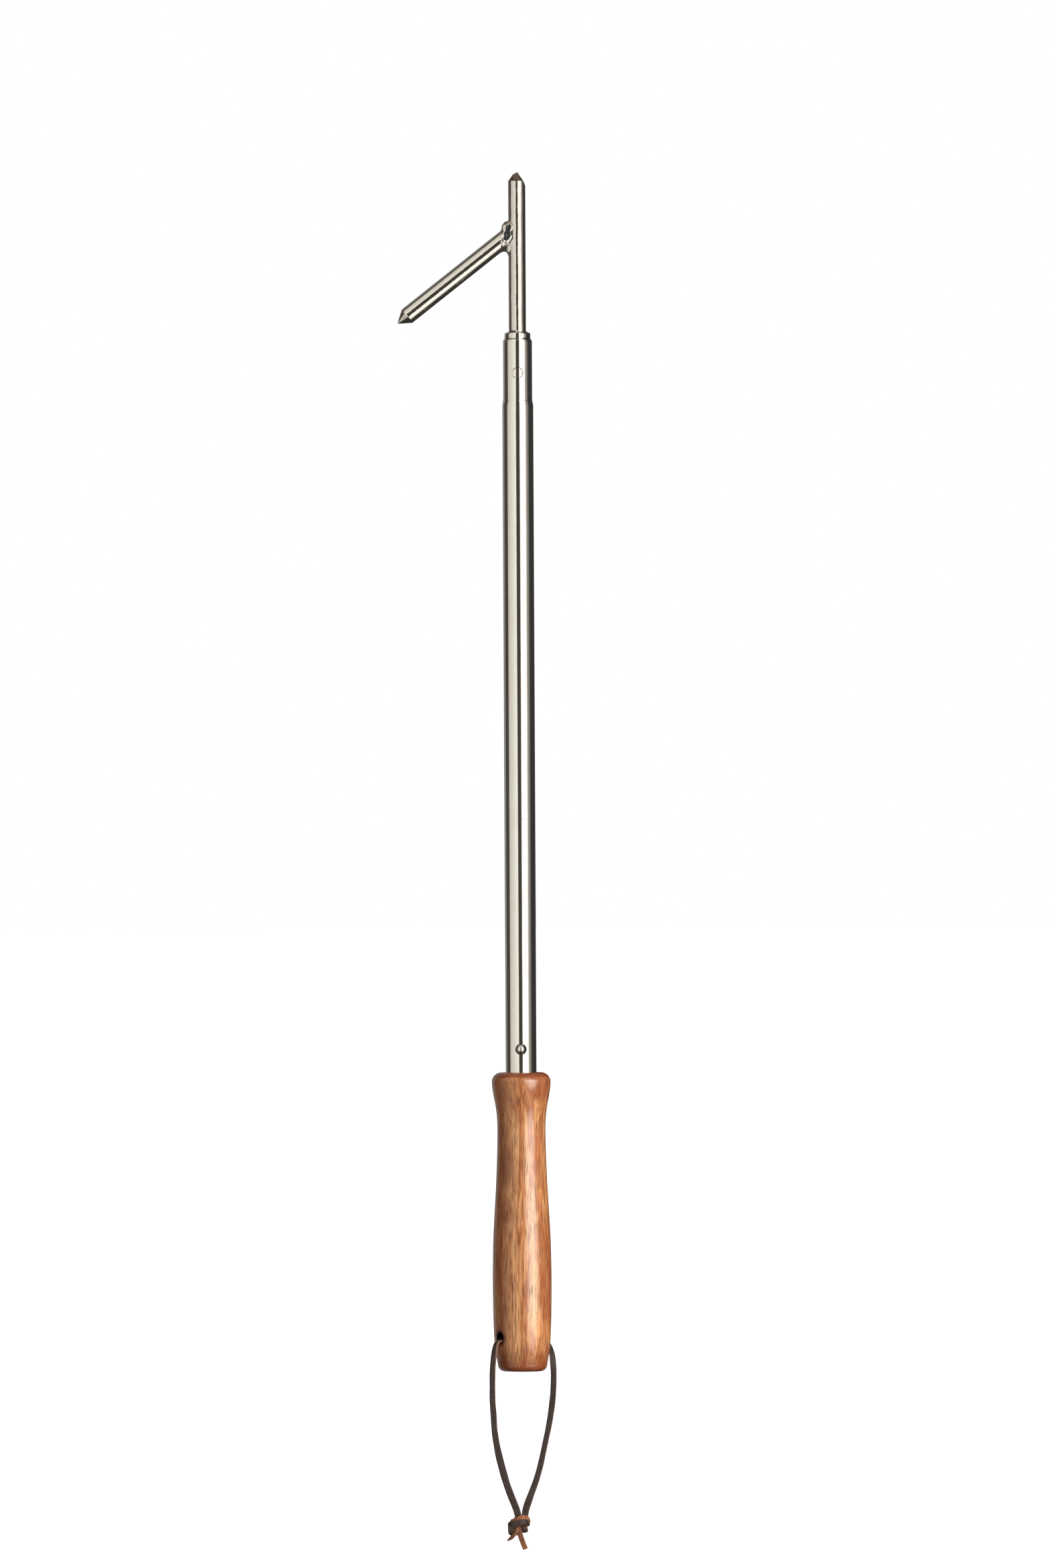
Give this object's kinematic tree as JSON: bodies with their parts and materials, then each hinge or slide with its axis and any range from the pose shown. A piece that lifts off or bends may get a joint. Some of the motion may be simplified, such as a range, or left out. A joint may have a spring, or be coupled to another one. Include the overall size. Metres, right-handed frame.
{
  "type": "boat hook",
  "caption": "Telescoping steel boat hook with a pointed rod, a raked side spike, a snap button lock, a turned wooden handle and a leather hanging thong.",
  "frame": {"origin": "centre of the handle's butt face, on the tube's axis", "axes": "+Z along the tube from the handle towards the point; the side spike points to -X; the snap button and lock holes face -Y"},
  "size_m": [0.0892, 0.0344, 0.8018],
  "materials": {
    "oiled_wood": "lacquered",
    "polished_nickel": "polished",
    "weld_metal": "rough, plated over",
    "button_steel": "polished",
    "spring_steel": "satin",
    "nylon": "matt",
    "leather": "waxed"
  },
  "bodies": {
    "root": {"handle": "oiled_wood", "outer_tube": "polished_nickel"},
    "inner": {"inner_tube": "polished_nickel", "guide_bush": "nylon", "end_plug": "polished_nickel", "hook_rod": "polished_nickel", "side_spike": "polished_nickel", "spike_weld": "weld_metal", "rod_weld": "weld_metal", "snap_spring": "spring_steel"},
    "button": {"snap_button": "button_steel"},
    "thong": {"thong_lace": "leather", "thong_knot": "leather"}
  },
  "joints": [
    {"name": "telescope", "type": "slide", "parent": "root", "child": "inner", "axis": [0, 0, 1], "range_m": [0, 0.3932], "deforming": ["snap_button"]},
    {"name": "button_press", "type": "slide", "parent": "inner", "child": "button", "axis": [0, 1, 0], "range_m": [0, 0.004], "stiffness_N_per_m": 400, "springref_m": -0.004, "deforming": ["snap_spring"]},
    {"name": "thong_swing", "type": "hinge", "parent": "root", "child": "thong", "pos_m": [0, 0, 0.0199], "axis": [0.8, 0.6, 0], "range_deg": [-90, 90]}
  ]
}
